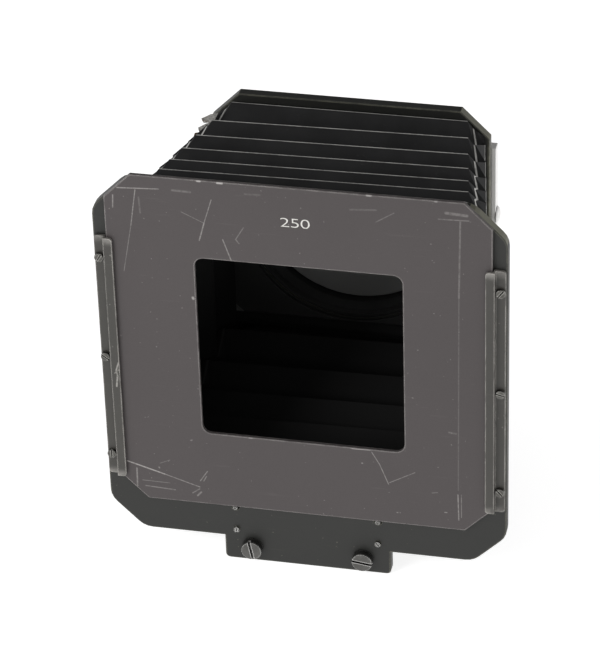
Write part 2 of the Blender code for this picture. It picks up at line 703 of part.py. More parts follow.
def adapter_ring(rear, surface):
    """The stepped ring in the collar's rear that fits the lens."""
    outer = COLLAR_BORE - GAP
    length = COLLAR_REAR - 0.8 * MM - ADAPTER_FRONT
    profile = [
        (ADAPTER_BORE, 0.0),
        (ADAPTER_BORE, ADAPTER_SHEET),
        (ADAPTER_STEP, ADAPTER_SHEET + 0.4 * MM),
        (ADAPTER_STEP, length),
        (outer, length),
        (outer, 0.3 * MM),
        (outer - 0.3 * MM, 0.0),
    ]
    origin = (0.0, ADAPTER_FRONT, AXIS_HEIGHT)
    turned("adapter_ring", profile, 56, rear, origin, BACKWARD, surface, closed=True)


def mount_bar(name, side, rear, surface):
    """A bright bar standing behind the rear frame's side edge and a little beyond it."""
    near = REAR_FRONT + REAR_THICKNESS + WIDE_GAP
    inner, outer = sorted((side * BAR_INNER, side * BAR_OUTER))
    low = (inner, near, BAR_BOTTOM)
    high = (outer, near + BAR_DEPTH, BAR_TOP)
    bar = block("mount_bar_" + name, low, high, rear, surface)
    for i, height in enumerate(bar_screw_heights()):
        centre = (side * BAR_SCREW_X, near - 1.0 * MM, height)
        drill(bar, f"mount_bar_hole_{name}_{i + 1}", centre, RAIL_HOLE, 2.0 * BAR_DEPTH, BACKWARD, 12)
    centre = (side * (BAR_OUTER - 2.0 * MM), near + BAR_DEPTH / 2.0, DOME_HEIGHT)
    drill(bar, "dome_hole_" + name, centre, DOME_HOLE, 5.0 * MM, (side, 0.0, 0.0), 12)
    bevel_edges(bar, 0.35 * MM)


def mount_bar_screws(name, side, rear, surface, bright):
    near = REAR_FRONT + REAR_THICKNESS + WIDE_GAP
    back = near + BAR_DEPTH
    for i, height in enumerate(bar_screw_heights()):
        seat = (side * BAR_SCREW_X, back + 0.1 * MM, height)
        screw = f"mount_bar_screw_{name}_{i + 1}"
        slotted_screw(screw, BAR_SCREW, seat, BACKWARD, 60.0 * side, rear, surface)
    seat = (side * (BAR_OUTER + 0.1 * MM), near + BAR_DEPTH / 2.0, DOME_HEIGHT)
    axis = (side, 0.0, 0.0)
    domed_screw("side_dome_" + name, SIDE_DOME, seat, axis, rear, bright)


def carriage(rear, surface):
    """The block that rides on both rods, split beside the right one so that it can grip."""
    edge = 0.5 * MM
    outline = octagon(CARRIAGE_HALF_WIDTH, 0.0, CARRIAGE_TOP, edge, 1.5 * MM)
    holes = [circle((side * ROD_X, ROD_HEIGHT), BUSH_OUTER + GAP, 24) for _, side in SIDES]
    made = plate("carriage", outline, holes, CARRIAGE_FRONT, CARRIAGE_REAR, 0.3 * MM, rear, surface)
    low = (ROD_X + ROD_RADIUS, CARRIAGE_FRONT - edge, ROD_HEIGHT - CLAMP_SLIT / 2.0)
    high = (CARRIAGE_HALF_WIDTH + edge, CARRIAGE_REAR + edge, ROD_HEIGHT + CLAMP_SLIT / 2.0)
    cut(made, block("clamp_slit", low, high, rear))
    start = (CLAMP_X, carriage_middle(), 1.2 * MM)
    drill(made, "clamp_hole", start, 1.8 * MM, CARRIAGE_TOP, UP)
    for name, side in SIDES:
        start = (side * RISER_SCREW_X, FOOT_SCREW_Y, CARRIAGE_TOP - 5.0 * MM)
        drill(made, "foot_hole_" + name, start, RISER_HOLE, 6.0 * MM, UP, 12)


def carriage_middle():
    return (CARRIAGE_FRONT + CARRIAGE_REAR) / 2.0


def rod_bush(name, side, rear, surface):
    """A flanged sleeve between a rod and the carriage."""
    flange = 4.0 * MM
    sheet = 0.7 * MM
    start = CARRIAGE_FRONT - WIDE_GAP - sheet
    length = CARRIAGE_REAR - start
    profile = [
        (BUSH_BORE, 0.0),
        (BUSH_BORE, length),
        (BUSH_OUTER, length),
        (BUSH_OUTER, sheet),
        (flange, sheet),
        (flange, 0.0),
    ]
    origin = (side * ROD_X, start, ROD_HEIGHT)
    turned("rod_bush_" + name, profile, 24, rear, origin, BACKWARD, surface, closed=True)


def riser(rear, surface):
    """The angle that carries the rear frame on the carriage."""
    near = REAR_FRONT + REAR_THICKNESS + WIDE_GAP
    foot = CARRIAGE_TOP + WIDE_GAP
    section = [
        (near, foot),
        (RISER_FOOT_REAR, foot),
        (RISER_FOOT_REAR, foot + RISER_SHEET),
        (near + RISER_SHEET, foot + RISER_SHEET),
        (near + RISER_SHEET, RISER_TOP),
        (near, RISER_TOP),
    ]
    bm = bmesh.new()
    face = bm.faces.new([bm.verts.new((-RISER_HALF_WIDTH, y, z)) for y, z in section])
    grown = bmesh.ops.extrude_face_region(bm, geom=[face])
    moved = [item for item in grown["geom"] if isinstance(item, bmesh.types.BMVert)]
    bmesh.ops.translate(bm, verts=moved, vec=(2.0 * RISER_HALF_WIDTH, 0.0, 0.0))
    bmesh.ops.translate(bm, verts=bm.verts, vec=-rear.location)
    made = add_object("riser", bm, rear, rear.location, surface)
    for name, side in SIDES:
        x = side * RISER_SCREW_X
        back_start = (x, near - 1.0 * MM, RISER_SCREW_HEIGHT)
        drill(made, "riser_back_hole_" + name, back_start, RISER_HOLE, 5.0 * MM, BACKWARD, 12)
        foot_start = (x, FOOT_SCREW_Y, foot - 1.0 * MM)
        drill(made, "riser_foot_hole_" + name, foot_start, RISER_HOLE, 5.0 * MM, UP, 12)
    bevel_edges(made, 0.3 * MM, 1)


def riser_screws(rear, surface):
    back = REAR_FRONT + REAR_THICKNESS + WIDE_GAP + RISER_SHEET
    top = CARRIAGE_TOP + WIDE_GAP + RISER_SHEET
    for name, side in SIDES:
        x = side * RISER_SCREW_X
        seat = (x, back + 0.1 * MM, RISER_SCREW_HEIGHT)
        screw = "riser_screw_" + name
        slotted_screw(screw, RISER_SCREW, seat, BACKWARD, 35.0 * side, rear, surface)
        seat = (x, FOOT_SCREW_Y, top + 0.1 * MM)
        screw = "foot_screw_" + name
        slotted_screw(screw, FOOT_SCREW, seat, UP, 70.0 * side, rear, surface)


def whole_middle():
    """The middle of the object's depth, from the rails' lips to the rods' stops."""
    return (RAIL_FRONT + ROD_END + WIDE_GAP + ROD_STOP_LENGTH) / 2.0


def build():
    clear_scene()
    frame_black = material("frame_black", (0.050, 0.053, 0.051), 0.45, 0.35)
    mask_brown = material("mask_brown_black", (0.098, 0.088, 0.085), 0.5, 0.35)
    rail_grey = material("rail_grey", (0.085, 0.085, 0.075), 0.42, 0.5)
    cloth = material("bellows_cloth", (0.012, 0.012, 0.013), 0.75, 0.0)
    chrome = material("chrome", (0.62, 0.61, 0.60), 0.18, 1.0)
    steel = material("screw_steel", (0.36, 0.35, 0.34), 0.38, 1.0)
    rod_steel = material("rod_steel", (0.50, 0.49, 0.48), 0.25, 1.0)
    dark_metal = material("blackened_metal", (0.022, 0.022, 0.023), 0.4, 0.6)
    brass = material("bush_brass", (0.48, 0.34, 0.13), 0.4, 1.0)

    rear = body("rear_standard_axis", (0.0, REAR_FRONT, AXIS_HEIGHT))
    rear.parent = body("hood_centre", (0.0, -whole_middle(), 0.0))
    front = body("front_standard_slide", (0.0, 0.0, ROD_HEIGHT), rear)
    mask = body("mask_slide", (0.0, -GAP, MASK_BOTTOM), front)
    knob_seat = (CLAMP_X, carriage_middle(), CARRIAGE_TOP + WIDE_GAP)
    knob_axis = body("clamp_knob_axis", knob_seat, rear)
    outward = Vector((math.cos(COLLAR_SCREW_ANGLE), 0.0, math.sin(COLLAR_SCREW_ANGLE)))
    collar_seat = Vector((0.0, COLLAR_SCREW_Y, AXIS_HEIGHT)) + outward * COLLAR_SCREW_REACH
    collar_axis = body("collar_screw_axis", collar_seat, rear)

    front_frame(front, frame_black)
    for name, side in SIDES:
        mask_rail(name, side, front, rail_grey)
        leaf_spring(name, side, front, rod_steel)
        stop_pin(name, side, front, steel)
        guide_rod(name, side, front, rod_steel)
        mount_bar(name, side, rear, chrome)
        mount_bar_screws(name, side, rear, steel, chrome)
        rod_bush(name, side, rear, brass)
    rail_screws(front, steel)
    front_clamp_ring(front, dark_metal)
    rod_bracket(front, frame_black)
    rod_fastenings(front, steel, dark_metal)
    mask_plate(mask, mask_brown)
    bellows(rear, cloth)
    rear_frame(rear, frame_black)
    rear_clamp_ring(rear, dark_metal)
    lens_collar(rear, dark_metal)
    adapter_ring(rear, dark_metal)
    carriage(rear, frame_black)
    riser(rear, frame_black)
    riser_screws(rear, steel)
    knurled_knob("clamp_knob", CLAMP_KNOB, 24, knob_seat, UP, knob_axis, chrome)
    knurled_knob("collar_screw", COLLAR_KNOB, 18, collar_seat, outward, collar_axis, chrome)


build()
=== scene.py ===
"""A compendium bellows lens hood on a pale floor, seen from above its right side."""

import math

import bmesh
import bpy
import numpy as np
from mathutils import Matrix, Vector


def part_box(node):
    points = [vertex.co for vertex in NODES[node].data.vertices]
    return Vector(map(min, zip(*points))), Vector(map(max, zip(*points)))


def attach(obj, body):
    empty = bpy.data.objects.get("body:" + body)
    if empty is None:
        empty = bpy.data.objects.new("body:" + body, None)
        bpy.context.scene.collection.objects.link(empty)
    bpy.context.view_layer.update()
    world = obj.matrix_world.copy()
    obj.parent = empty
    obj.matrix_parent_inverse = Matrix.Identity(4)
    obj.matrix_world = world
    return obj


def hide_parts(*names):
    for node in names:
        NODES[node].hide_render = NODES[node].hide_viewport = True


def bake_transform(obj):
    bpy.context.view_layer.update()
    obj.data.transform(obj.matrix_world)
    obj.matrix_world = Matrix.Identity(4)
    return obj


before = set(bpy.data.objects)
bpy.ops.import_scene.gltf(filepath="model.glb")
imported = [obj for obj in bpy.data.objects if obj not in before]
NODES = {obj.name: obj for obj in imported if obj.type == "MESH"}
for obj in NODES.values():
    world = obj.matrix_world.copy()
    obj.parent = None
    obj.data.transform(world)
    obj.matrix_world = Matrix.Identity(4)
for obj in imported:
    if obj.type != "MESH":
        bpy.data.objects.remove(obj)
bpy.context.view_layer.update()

MM = 0.001
MASK = "mask"

# Camera: a long lens, above and to the right of the hood
CAMERA_AZIMUTH = 13.17
CAMERA_ELEVATION = 32.9
CAMERA_ROLL = -1.84
CAMERA_DISTANCE = 0.8908
CAMERA_LENS = 191.6
CAMERA_SENSOR = 36.0
CAMERA_AIM_SIDE = -0.2 * MM
CAMERA_AIM_HEIGHT = 72.4 * MM

# Light from the surroundings by the sine of its height above the horizon: (height, level).
# The first list is for the half in front of the hood and the second for the half behind it.
FRONT_WORLD = ((0.0, 0.75), (0.45, 0.42), (0.8, 0.35), (1.0, 0.4))
REAR_WORLD = ((0.0, 0.9), (0.2, 0.5), (0.36, 0.03), (0.72, 0.03), (0.92, 0.4), (1.0, 0.4))
# The y of a direction where the front's light begins to give way to the rear's, and where it has
WORLD_TURN = (-0.15, 0.35)

MASK_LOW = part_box("mask_plate")[0]
FRAME_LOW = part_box("front_frame")[0]
REAR_LOW, REAR_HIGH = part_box("rear_frame")
BELLOWS_LOW, BELLOWS_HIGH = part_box("bellows")
AXIS_HEIGHT = (REAR_LOW.z + REAR_HIGH.z) / 2.0


# ---------------------------------------------------------------- node helpers


class Nodes:
    """Short names for building one material's node tree."""

    def __init__(self, name):
        self.material = bpy.data.materials.new(name)
        self.material.use_nodes = True
        self.tree = self.material.node_tree
        self.shader = self.tree.nodes["Principled BSDF"]
        self.place = self.add("ShaderNodeTexCoord").outputs["Object"]

    def add(self, kind, **settings):
        node = self.tree.nodes.new(kind)
        for key, value in settings.items():
            setattr(node, key, value)
        return node

    def put(self, socket, value):
        """Links value to socket if it is an output, or else stores it there."""
        if isinstance(value, bpy.types.NodeSocket):
            self.tree.links.new(value, socket)
        else:
            socket.default_value = value

    def math(self, operation, *values, clamp=False):
        node = self.add("ShaderNodeMath", operation=operation, use_clamp=clamp)
        for socket, value in zip(node.inputs, values):
            self.put(socket, value)
        return node.outputs[0]

    def vector(self, operation, *values, output="Vector"):
        node = self.add("ShaderNodeVectorMath", operation=operation)
        for socket, value in zip(node.inputs, values):
            self.put(socket, value)
        return node.outputs[output]

    def stretch(self, factors):
        """The object's own coordinates, scaled along each axis."""
        return self.vector("MULTIPLY", self.place, Vector(factors))

    def noise(self, scale, detail, roughness, place=None, distortion=0.0):
        node = self.add("ShaderNodeTexNoise")
        self.put(node.inputs["Vector"], place or self.place)
        self.put(node.inputs["Scale"], scale)
        self.put(node.inputs["Detail"], detail)
        self.put(node.inputs["Roughness"], roughness)
        self.put(node.inputs["Distortion"], distortion)
        return node.outputs["Fac"]

    def range(self, value, low, high, to_low=0.0, to_high=1.0):
        """to_low up to low, to_high from high on and a smooth step between them."""
        node = self.add("ShaderNodeMapRange", interpolation_type="SMOOTHSTEP")
        for key, number in (("Value", value), ("From Min", low), ("From Max", high)):
            self.put(node.inputs[key], number)
        self.put(node.inputs["To Min"], to_low)
        self.put(node.inputs["To Max"], to_high)
        return node.outputs["Result"]

    def mix(self, factor, first, second):
        node = self.add("ShaderNodeMix", data_type="RGBA")
        self.put(node.inputs["Factor"], factor)
        for key, colour in (("A", first), ("B", second)):
            value = colour if isinstance(colour, bpy.types.NodeSocket) else (*colour, 1.0)
            self.put(node.inputs[key], value)
        return node.outputs["Result"]

    def edges(self, radius, low, high):
        """1 on sharp edges, fading out within about radius."""
        bevel = self.add("ShaderNodeBevel", samples=6)
        self.put(bevel.inputs["Radius"], radius)
        normal = self.add("ShaderNodeNewGeometry").outputs["Normal"]
        flat = self.vector("DOT_PRODUCT", bevel.outputs["Normal"], normal, output="Value")
        return self.range(self.math("SUBTRACT", 1.0, flat), low, high)

    def crevices(self, distance):
        """0 deep inside slots and joints narrower than distance, rising to 1 in the open."""
        open_air = self.add("ShaderNodeAmbientOcclusion", samples=6)
        self.put(open_air.inputs["Distance"], distance)
        return self.range(open_air.outputs["AO"], 0.25, 0.85)

    def facing(self, axis, low=0.5, high=0.8):
        """1 where the surface faces along axis."""
        normal = self.add("ShaderNodeNewGeometry").outputs["Normal"]
        along = self.vector("DOT_PRODUCT", normal, Vector(axis), output="Value")
        return self.range(along, low, high)

    def stroke(self, start, end, width):
        """1 on a scratch between two (x, z) places in millimetres on a front face."""
        a = Vector((start[0], 0.0, start[1])) * MM
        along = Vector((end[0], 0.0, end[1])) * MM - a
        offset = self.vector("SUBTRACT", self.stretch((1.0, 0.0, 1.0)), a)
        share = self.vector("DOT_PRODUCT", offset, along / along.length_squared, output="Value")
        nearest = self.add("ShaderNodeVectorMath", operation="SCALE")
        nearest.inputs[0].default_value = along
        self.put(nearest.inputs["Scale"], self.math("ADD", share, 0.0, clamp=True))
        away = self.vector("SUBTRACT", offset, nearest.outputs[0])
        gap = self.vector("LENGTH", away, output="Value")
        return self.range(gap, 0.5 * width, 0.12 * width)

    def strokes(self, marks):
        """The strongest of several strokes, each (start, end, width in mm, strength)."""
        strongest = 0.0
        for start, end, width, strength in marks:
            mark = self.math("MULTIPLY", self.stroke(start, end, width * MM), strength)
            strongest = self.math("MAXIMUM", strongest, mark)
        return strongest

    def bump(self, height, distance, strength, normal=None):
        node = self.add("ShaderNodeBump")
        self.put(node.inputs["Height"], height)
        self.put(node.inputs["Distance"], distance)
        self.put(node.inputs["Strength"], strength)
        if normal:
            self.put(node.inputs["Normal"], normal)
        return node.outputs["Normal"]

    def finish(self, **sockets):
        for key, value in sockets.items():
            if isinstance(value, tuple):
                value = (*value, 1.0)
            self.put(self.shader.inputs[key.replace("_", " ")], value)
        return self.material


# ------------------------------------------------------------------- materials

FRAME_BLACK = (0.0115, 0.012, 0.0115)
FRAME_FADED = (0.014, 0.0145, 0.014)
# Pale olive for the frames' rubbed spots and for their painted highlights.
KHAKI = (0.24, 0.235, 0.175)
# Near black for slots and joints: painted shade, with some grime.
SLOT_SHADE_AND_GRIME = (0.012, 0.012, 0.012)
# Width of the lighter edges, partly rubbed and partly a painted highlight.
EDGE_LIGHTENING_WIDTH = 0.6 * MM
TOOL_MARKS = (0.05, 1.0, 0.05)

# Marks on the mask's face: (x, z) to (x, z) in mm, width in mm, strength
MASK_SCRATCHES = (
    ((-45.2, 111.2), (-34.7, 111.8), 0.5, 0.55),
    ((-46.4, 109.0), (-46.6, 105.4), 0.5, 0.5),
    ((-40.6, 111.0), (-42.2, 100.6), 0.4, 0.5),
    ((-42.2, 100.6), (-44.7, 87.0), 0.35, 0.28),
    ((-39.8, 109.0), (-39.6, 104.5), 0.7, 0.16),
    ((-21.3, 110.0), (-23.4, 103.1), 0.35, 0.5),
    ((-23.4, 103.1), (-24.8, 98.0), 0.5, 0.55),
    ((-29.1, 105.8), (-23.4, 103.1), 0.3, 0.3),
    ((-18.8, 98.8), (-16.9, 93.0), 0.45, 0.5),
    ((-13.4, 102.8), (-15.5, 99.2), 0.4, 0.3),
    ((-15.5, 99.2), (-14.7, 98.1), 0.5, 0.3),
    ((-31.1, 111.8), (-26.6, 111.7), 0.9, 0.22),
    ((-12.7, 112.5), (-8.9, 112.6), 0.8, 0.12),
    ((13.6, 110.7), (20.0, 111.2), 0.8, 0.14),
    ((20.0, 107.8), (24.5, 110.8), 0.4, 0.25),
    ((37.4, 112.1), (42.5, 111.8), 1.2, 0.3),
    ((35.5, 110.2), (43.0, 110.4), 0.5, 0.3),
    ((-47.0, 28.6), (-37.2, 25.6), 0.55, 0.8),
    ((-37.2, 25.6), (-27.9, 22.6), 0.4, 0.5),
    ((-44.6, 26.6), (-44.7, 21.0), 0.6, 0.45),
    ((-43.2, 23.0), (-36.0, 22.9), 0.4, 0.28),
    ((-42.5, 21.3), (-34.6, 20.9), 0.5, 0.35),
    ((-27.7, 24.6), (-25.7, 27.8), 0.4, 0.45),
    ((-26.8, 24.6), (-26.0, 26.2), 0.4, 0.4),
    ((-29.9, 20.5), (-28.0, 22.0), 0.5, 0.35),
    ((-28.6, 19.8), (-27.6, 21.0), 0.7, 0.4),
    ((-38.3, 28.9), (-35.6, 30.2), 0.35, 0.3),
    ((17.8, 39.2), (19.9, 35.4), 0.35, 0.5),
    ((19.9, 35.4), (22.1, 29.6), 0.35, 0.5),
    ((22.4, 30.2), (29.0, 34.1), 0.35, 0.4),
    ((40.1, 28.5), (40.3, 20.6), 0.45, 0.55),
    ((41.0, 28.6), (41.0, 21.5), 0.35, 0.35),
    ((40.5, 88.0), (40.2, 30.0), 0.5, 0.14),
    ((40.9, 110.0), (40.5, 88.0), 0.7, 0.24),
    ((37.9, 47.6), (39.6, 47.4), 0.8, 0.2),
    ((33.4, 28.3), (34.8, 28.6), 0.5, 0.25),
)
# Bare spots where the finish has chipped off the mask's edges
MASK_CHIPS = (
    ((-24.6, 115.1), (-24.0, 115.1), 0.9, 1.0),
    ((-19.6, 115.0), (-18.4, 115.0), 0.8, 1.0),
    ((17.9, 115.2), (18.8, 115.2), 0.9, 0.9),
    ((34.7, 115.1), (35.1, 115.1), 0.7, 0.6),
    ((44.0, 113.5), (44.4, 113.3), 0.9, 0.9),
    ((-27.2, 80.9), (-27.1, 80.6), 1.0, 0.7),
    ((12.7, 39.6), (17.4, 39.7), 0.4, 0.7),
    ((-14.2, 39.7), (-13.4, 39.7), 0.5, 0.5),
    ((0.9, 17.5), (1.5, 17.5), 0.5, 0.5),
    ((15.2, 35.4), (15.4, 35.4), 0.5, 0.5),
    ((24.2, 21.0), (24.4, 21.0), 0.5, 0.4),
    ((36.7, 22.6), (37.2, 22.6), 0.5, 0.45),
    ((33.5, 102.9), (33.7, 102.9), 0.4, 0.3),
    ((-38.6, 27.6), (-38.5, 27.4), 0.6, 0.4),
)
# Heights of the rails' lower and upper ends in mm, and the scratches on the left rail
RAIL_ENDS = (24.3, 96.6)
RAIL_MARKS = (
    ((-47.5, 59.6), (-48.2, 57.2), 0.6, 0.7),
    ((-48.2, 57.2), (-47.8, 55.4), 0.6, 0.55),
    ((-47.9, 55.6), (-48.3, 52.4), 0.7, 0.65),
    ((-48.6, 56.4), (-47.4, 57.6), 0.4, 0.5),
)


def anodised(
    name,
    base,
    faded,
    paler,
    roughness,
    shine=0.4,
    edge_lightening=0.8,
    chamfer_highlight=0.0,
    sheltered=0.0,
    side_highlight=0.0,
    marks=(),
    chips=(),
    ends=None,
):
    """Dark anodised sheet: soft fading, a fine grain, lighter edges, hairlines and its own scratches.

    base and faded are the finish, and paler is what shows through it where it is rubbed and also the colour
    of the painted highlights. edge_lightening is how strongly the edges are lightened, partly by rubbing and
    partly as a painted highlight. chamfer_highlight lightens the upper right chamfer as a painted highlight,
    sheltered keeps edges nearer to the axis than it dark, side_highlight lightens the faces further out than
    it in patches as a painted highlight, marks and chips are strokes, and ends are the two heights in mm
    whose tips are rubbed.
    """
    n = Nodes(name)
    cloud = n.range(n.noise(22.0, 4.0, 0.6), 0.32, 0.7)
    grain = n.noise(4200.0, 2.0, 0.55)
    hair = n.range(n.noise(800.0, 2.0, 0.6, n.stretch((0.08, 1.0, 1.3)), 0.4), 0.66, 0.76)
    patchy = n.range(n.noise(260.0, 4.0, 0.7), 0.3, 0.6, 0.25, 1.0)
    # Lighter edges, partly from rubbing and partly a painted highlight along them.
    edge = n.math("MULTIPLY", n.edges(EDGE_LIGHTENING_WIDTH, 0.01, 0.12), patchy)
    speck = n.range(n.noise(1100.0, 1.0, 0.5), 0.77, 0.8)
    colour = n.mix(cloud, base, faded)
    colour = n.mix(n.math("MULTIPLY", grain, 0.05), colour, paler)
    if sheltered:
        radial = n.vector("SUBTRACT", n.stretch((1.0, 0.0, 1.0)), Vector((0.0, 0.0, AXIS_HEIGHT)))
        radius = n.vector("LENGTH", radial, output="Value")
        edge = n.math("MULTIPLY", edge, n.range(radius, sheltered, sheltered + 2.0 * MM))
    # Painted highlight: faces towards the upper right chamfer are lightened as if lit from the right.
    if chamfer_highlight:
        lit_chamfer = n.facing((0.707, 0.0, 0.707), 0.8, 0.95)
        colour = n.mix(n.math("MULTIPLY", lit_chamfer, chamfer_highlight), colour, paler)
    # Spots shown in the paler colour: rubbed edges, hairlines and specks, then scratches, tips and the
    # painted highlights below.
    rub_and_highlight = n.math("MAXIMUM", n.math("MULTIPLY", edge, edge_lightening), n.math("MULTIPLY", hair, 0.03))
    rub_and_highlight = n.math("MAXIMUM", rub_and_highlight, n.math("MULTIPLY", speck, 0.3))
    if marks:
        broken = n.range(n.noise(1500.0, 3.0, 0.7), 0.3, 0.6, 0.35, 1.0)
        scratch = n.math("MULTIPLY", n.strokes(marks), broken)
        scratch = n.math("MAXIMUM", scratch, n.strokes(chips))
        rub_and_highlight = n.math("MAXIMUM", rub_and_highlight, n.math("MULTIPLY", scratch, n.facing((0.0, -1.0, 0.0))))
    # Painted highlight: faces further out from the axis are lightened in patches.
    if side_highlight:
        across = n.vector("DOT_PRODUCT", n.place, Vector((1.0, 0.0, 0.0)), output="Value")
        outer = n.range(n.math("ABSOLUTE", across), side_highlight, side_highlight + 0.8 * MM)
        rub_and_highlight = n.math("MAXIMUM", rub_and_highlight, n.math("MULTIPLY", n.math("MULTIPLY", outer, patchy), 0.5))
    if ends:
        height = n.vector("DOT_PRODUCT", n.place, Vector((0.0, 0.0, 1.0)), output="Value")
        middle = 0.5 * (ends[0] + ends[1]) * MM
        reach = n.math("ABSOLUTE", n.math("SUBTRACT", height, middle))
        half = 0.5 * (ends[1] - ends[0]) * MM
        tip = n.math("MULTIPLY", n.range(reach, half - 2.6 * MM, half), patchy)
        rub_and_highlight = n.math("MAXIMUM", rub_and_highlight, n.math("MULTIPLY", tip, 0.45))
    colour = n.mix(rub_and_highlight, colour, paler)
    rough = n.math("ADD", roughness - 0.04, n.math("MULTIPLY", cloud, 0.08))
    rough = n.math("SUBTRACT", rough, n.math("MULTIPLY", edge, 0.1))
    return n.finish(
        Base_Color=colour,
        Metallic=0.0,
        Specular_IOR_Level=shine,
        Roughness=rough,
        Normal=n.bump(grain, 0.01 * MM, 0.4),
    )


def turned_metal(name, base, dull, rim, roughness, metallic=1.0):
    """Metal with fine tool marks, dull film in patches, cleaner edges, and painted shade with some grime
    darkening its slots and joints.
    """
    n = Nodes(name)
    marks = n.noise(900.0, 3.0, 0.6, n.stretch(TOOL_MARKS))
    film = n.range(n.noise(420.0, 4.0, 0.65), 0.35, 0.68)
    edge = n.edges(0.45 * MM, 0.01, 0.15)
    colour = n.mix(n.math("MULTIPLY", film, 0.35), base, dull)
    colour = n.mix(n.math("MULTIPLY", edge, 0.9), colour, rim)
    # Painted shade: slots and tight joints are darkened towards near black, with some grime.
    colour = n.mix(n.crevices(0.7 * MM), SLOT_SHADE_AND_GRIME, colour)
    rough = n.math("ADD", roughness, n.math("MULTIPLY", film, 0.08))
    rough = n.math("ADD", rough, n.math("MULTIPLY", marks, 0.08))
    normal = n.bump(marks, 0.004 * MM, 0.2)
    return n.finish(Base_Color=colour, Metallic=metallic, Roughness=rough, Normal=normal)


def bellows_cloth():
    """Thin black leathercloth: a fine grain, faint dents, and light grey along the folds' crests, partly
    from rubbing and partly a painted highlight.
    """
    n = Nodes("bellows_leathercloth")
    crest = n.range(n.add("ShaderNodeAttribute", attribute_name="crest").outputs["Fac"], 0.1, 0.7)
    broken = n.range(n.noise(300.0, 4.0, 0.7), 0.3, 0.6, 0.55, 1.0)
    grain = n.noise(3600.0, 3.0, 0.6)
    dents = n.noise(90.0, 3.0, 0.55)
    scuff = n.range(n.noise(620.0, 4.0, 0.75, n.stretch((0.5, 1.0, 1.0)), 0.6), 0.63, 0.75)
    colour = n.mix(n.range(dents, 0.3, 0.7), (0.019, 0.019, 0.0195), (0.026, 0.026, 0.0265))
    colour = n.mix(n.math("MULTIPLY", scuff, 0.12), colour, (0.16, 0.155, 0.15))
    # Light grey along the crests: partly from rubbing and partly a painted highlight.
    colour = n.mix(n.math("MULTIPLY", crest, broken), colour, (0.75, 0.74, 0.71))
    normal = n.add("ShaderNodeNewGeometry").outputs["Normal"]
    outward = n.vector("SUBTRACT", n.stretch((1.0, 0.0, 1.0)), Vector((0.0, 0.0, AXIS_HEIGHT)))
    outside = n.range(n.vector("DOT_PRODUCT", normal, outward, output="Value"), 6.0 * MM, 12.0 * MM)
    # Inside, the crests take a fainter light grey, also partly from rubbing and partly a painted highlight.
    inner_crest = n.math("MULTIPLY", crest, 0.35)
    inside_colour = n.mix(inner_crest, (0.013, 0.013, 0.013), (0.06, 0.06, 0.06))
    colour = n.mix(outside, inside_colour, colour)
    rough = n.math("ADD", 0.65, n.math("MULTIPLY", grain, 0.2))
    normal = n.bump(dents, 0.25 * MM, 0.5, n.bump(grain, 0.02 * MM, 0.4))
    return n.finish(Base_Color=colour, Roughness=rough, Specular_IOR_Level=0.15, Normal=normal)


def frayed_backing():
    """Torn edges of the cloth: pale backing threads with glue-brown tips."""
    n = Nodes("frayed_backing")
    threads = n.noise(2600.0, 3.0, 0.65, n.stretch((0.35, 1.0, 1.6)))
    brown = n.range(n.noise(420.0, 3.0, 0.6), 0.5, 0.62)
    colour = n.mix(n.range(threads, 0.35, 0.65), (0.16, 0.155, 0.15), (0.42, 0.41, 0.38))
    colour = n.mix(brown, colour, (0.10, 0.062, 0.03))
    rough = n.math("ADD", 0.75, n.math("MULTIPLY", threads, 0.2))
    return n.finish(Base_Color=colour, Roughness=rough, Normal=n.bump(threads, 0.06 * MM, 0.8))


def numeral_paint():
    n = Nodes("numeral_paint")
    # Paler patches of the numerals' paint, where it is rubbed thin, are also rougher.
    paler = n.range(n.noise(1900.0, 3.0, 0.65), 0.3, 0.62)
    colour = n.mix(paler, (0.62, 0.61, 0.57), (0.74, 0.73, 0.70))
    return n.finish(Base_Color=colour, Roughness=n.math("ADD", 0.5, n.math("MULTIPLY", paler, 0.2)))


def floor_paper():
    n = Nodes("floor_paper")
    colour = n.mix(n.noise(9.0, 2.0, 0.5), (0.78, 0.78, 0.78), (0.80, 0.80, 0.80))
    return n.finish(
        Base_Color=colour, Roughness=0.9, Emission_Color=(1.0, 1.0, 1.0), Emission_Strength=0.8
    )


def paint(material, *names):
    for name in names:
        obj = NODES[name]
        obj.data.materials.clear()
        obj.data.materials.append(material)


def both(*names):
    return [f"{name}_{side}" for name in names for side in ("left", "right")]


